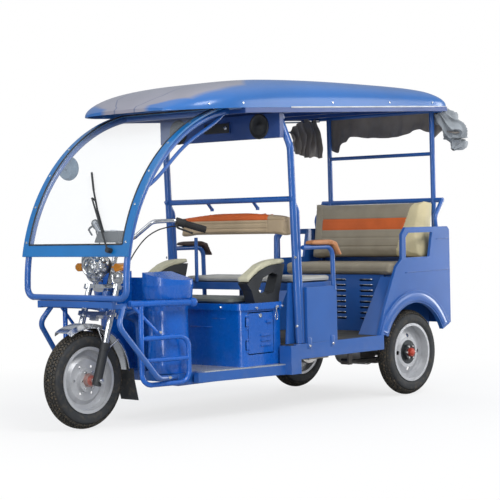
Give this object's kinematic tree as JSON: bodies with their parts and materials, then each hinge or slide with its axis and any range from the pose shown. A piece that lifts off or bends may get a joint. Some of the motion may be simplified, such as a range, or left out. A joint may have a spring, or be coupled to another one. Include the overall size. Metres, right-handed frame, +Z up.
{
  "type": "electric passenger rickshaw",
  "caption": "Open electric passenger rickshaw with hard roof, swept windscreen hoop, facing benches, steered front wheel on a telescopic fork and a hinged tool-box door",
  "frame": {"origin": "on the ground, midway along the overall length and on the centre plane", "axes": "+X rearwards, +Y to the vehicle's right, +Z up; the vehicle faces -X"},
  "size_m": [2.8428, 1.026, 1.7858],
  "materials": {
    "blue_paint": "gloss blue enamel",
    "frame_paint": "blue frame paint",
    "screen_paint": "bright blue enamel",
    "rubber": "matte tread rubber",
    "rim_silver": "silver paint",
    "chrome": "bright plate",
    "black_plastic": "moulded",
    "black_rubber": "matte",
    "lamp_clear": "clear lens over a bright reflector",
    "lamp_amber": "amber lens",
    "lamp_red": "red lens",
    "glass": "clear",
    "mirror_shell": "grey-blue shell",
    "mat": "ribbed floor mat",
    "tread_plate": "chequered plate",
    "seat_vinyl": "vinyl cover",
    "pad_vinyl": "cream vinyl",
    "curtain": "coated cloth",
    "dark_steel": "black paint"
  },
  "bodies": {
    "chassis": {"chassis_frame": "blue_paint", "side_guards": "blue_paint", "front_cowl": "blue_paint", "hoop": "blue_paint", "windscreen_frame": "screen_paint", "windscreen": "glass", "wiper": "black_plastic", "side_mirror": "mirror_shell", "floor_plates": "mat", "driver_floor": "tread_plate", "seat_box": "blue_paint", "driver_cushion": "seat_vinyl", "driver_armrests": "black_plastic", "armrest_pads": "pad_vinyl", "mid_frame": "blue_paint", "bench_frame": "blue_paint", "mid_backrest": "pad_vinyl", "mid_cushion": "seat_vinyl", "side_panels": "blue_paint", "quarter_panels": "blue_paint", "rear_wall": "blue_paint", "rear_seat_box": "blue_paint", "rear_cushion": "seat_vinyl", "rear_backrest": "seat_vinyl", "rear_frame": "blue_paint", "roof": "blue_paint", "roof_frame": "frame_paint", "overhead_console": "frame_paint", "curtains": "curtain", "tail_lamps": "lamp_red", "battery_pack": "black_plastic", "rear_axle": "dark_steel", "leaf_springs": "dark_steel", "tow_eye": "blue_paint"},
    "steering": {"front_axle": "chrome", "fork_sliders": "black_plastic", "fork_tubes": "chrome", "front_fender": "chrome", "mud_flap": "black_rubber", "handlebar": "chrome", "grips": "black_rubber", "headlamp": "lamp_clear", "indicators": "lamp_amber", "instrument_pod": "black_plastic"},
    "front_wheel": {"front_tyre": "rubber", "front_rim": "rim_silver"},
    "rear_wheel_left": {"rear_tyre_left": "rubber", "rear_rim_left": "rim_silver"},
    "rear_wheel_right": {"rear_tyre_right": "rubber", "rear_rim_right": "rim_silver"},
    "tool_box_door": {"seat_box_door": "blue_paint"}
  },
  "joints": [
    {"name": "steering_turn", "type": "hinge", "parent": "chassis", "child": "steering", "pos_m": [-1.02136, 0, 0.61311], "axis": [0.309, 0, 0.9511], "range_deg": [-35, 35]},
    {"name": "front_wheel_spin", "type": "hinge", "parent": "steering", "child": "front_wheel", "pos_m": [-1.17825, 0, 0.2435], "axis": [0, 1, 0], "continuous": true},
    {"name": "rear_left_spin", "type": "hinge", "parent": "chassis", "child": "rear_wheel_left", "pos_m": [0.92775, -0.4175, 0.2435], "axis": [0, 1, 0], "continuous": true},
    {"name": "rear_right_spin", "type": "hinge", "parent": "chassis", "child": "rear_wheel_right", "pos_m": [0.92775, 0.4175, 0.2435], "axis": [0, 1, 0], "continuous": true},
    {"name": "tool_box_door_swing", "type": "hinge", "parent": "chassis", "child": "tool_box_door", "pos_m": [-0.40025, -0.395, 0.42], "axis": [0, 0, -1], "range_deg": [0, 100]}
  ]
}
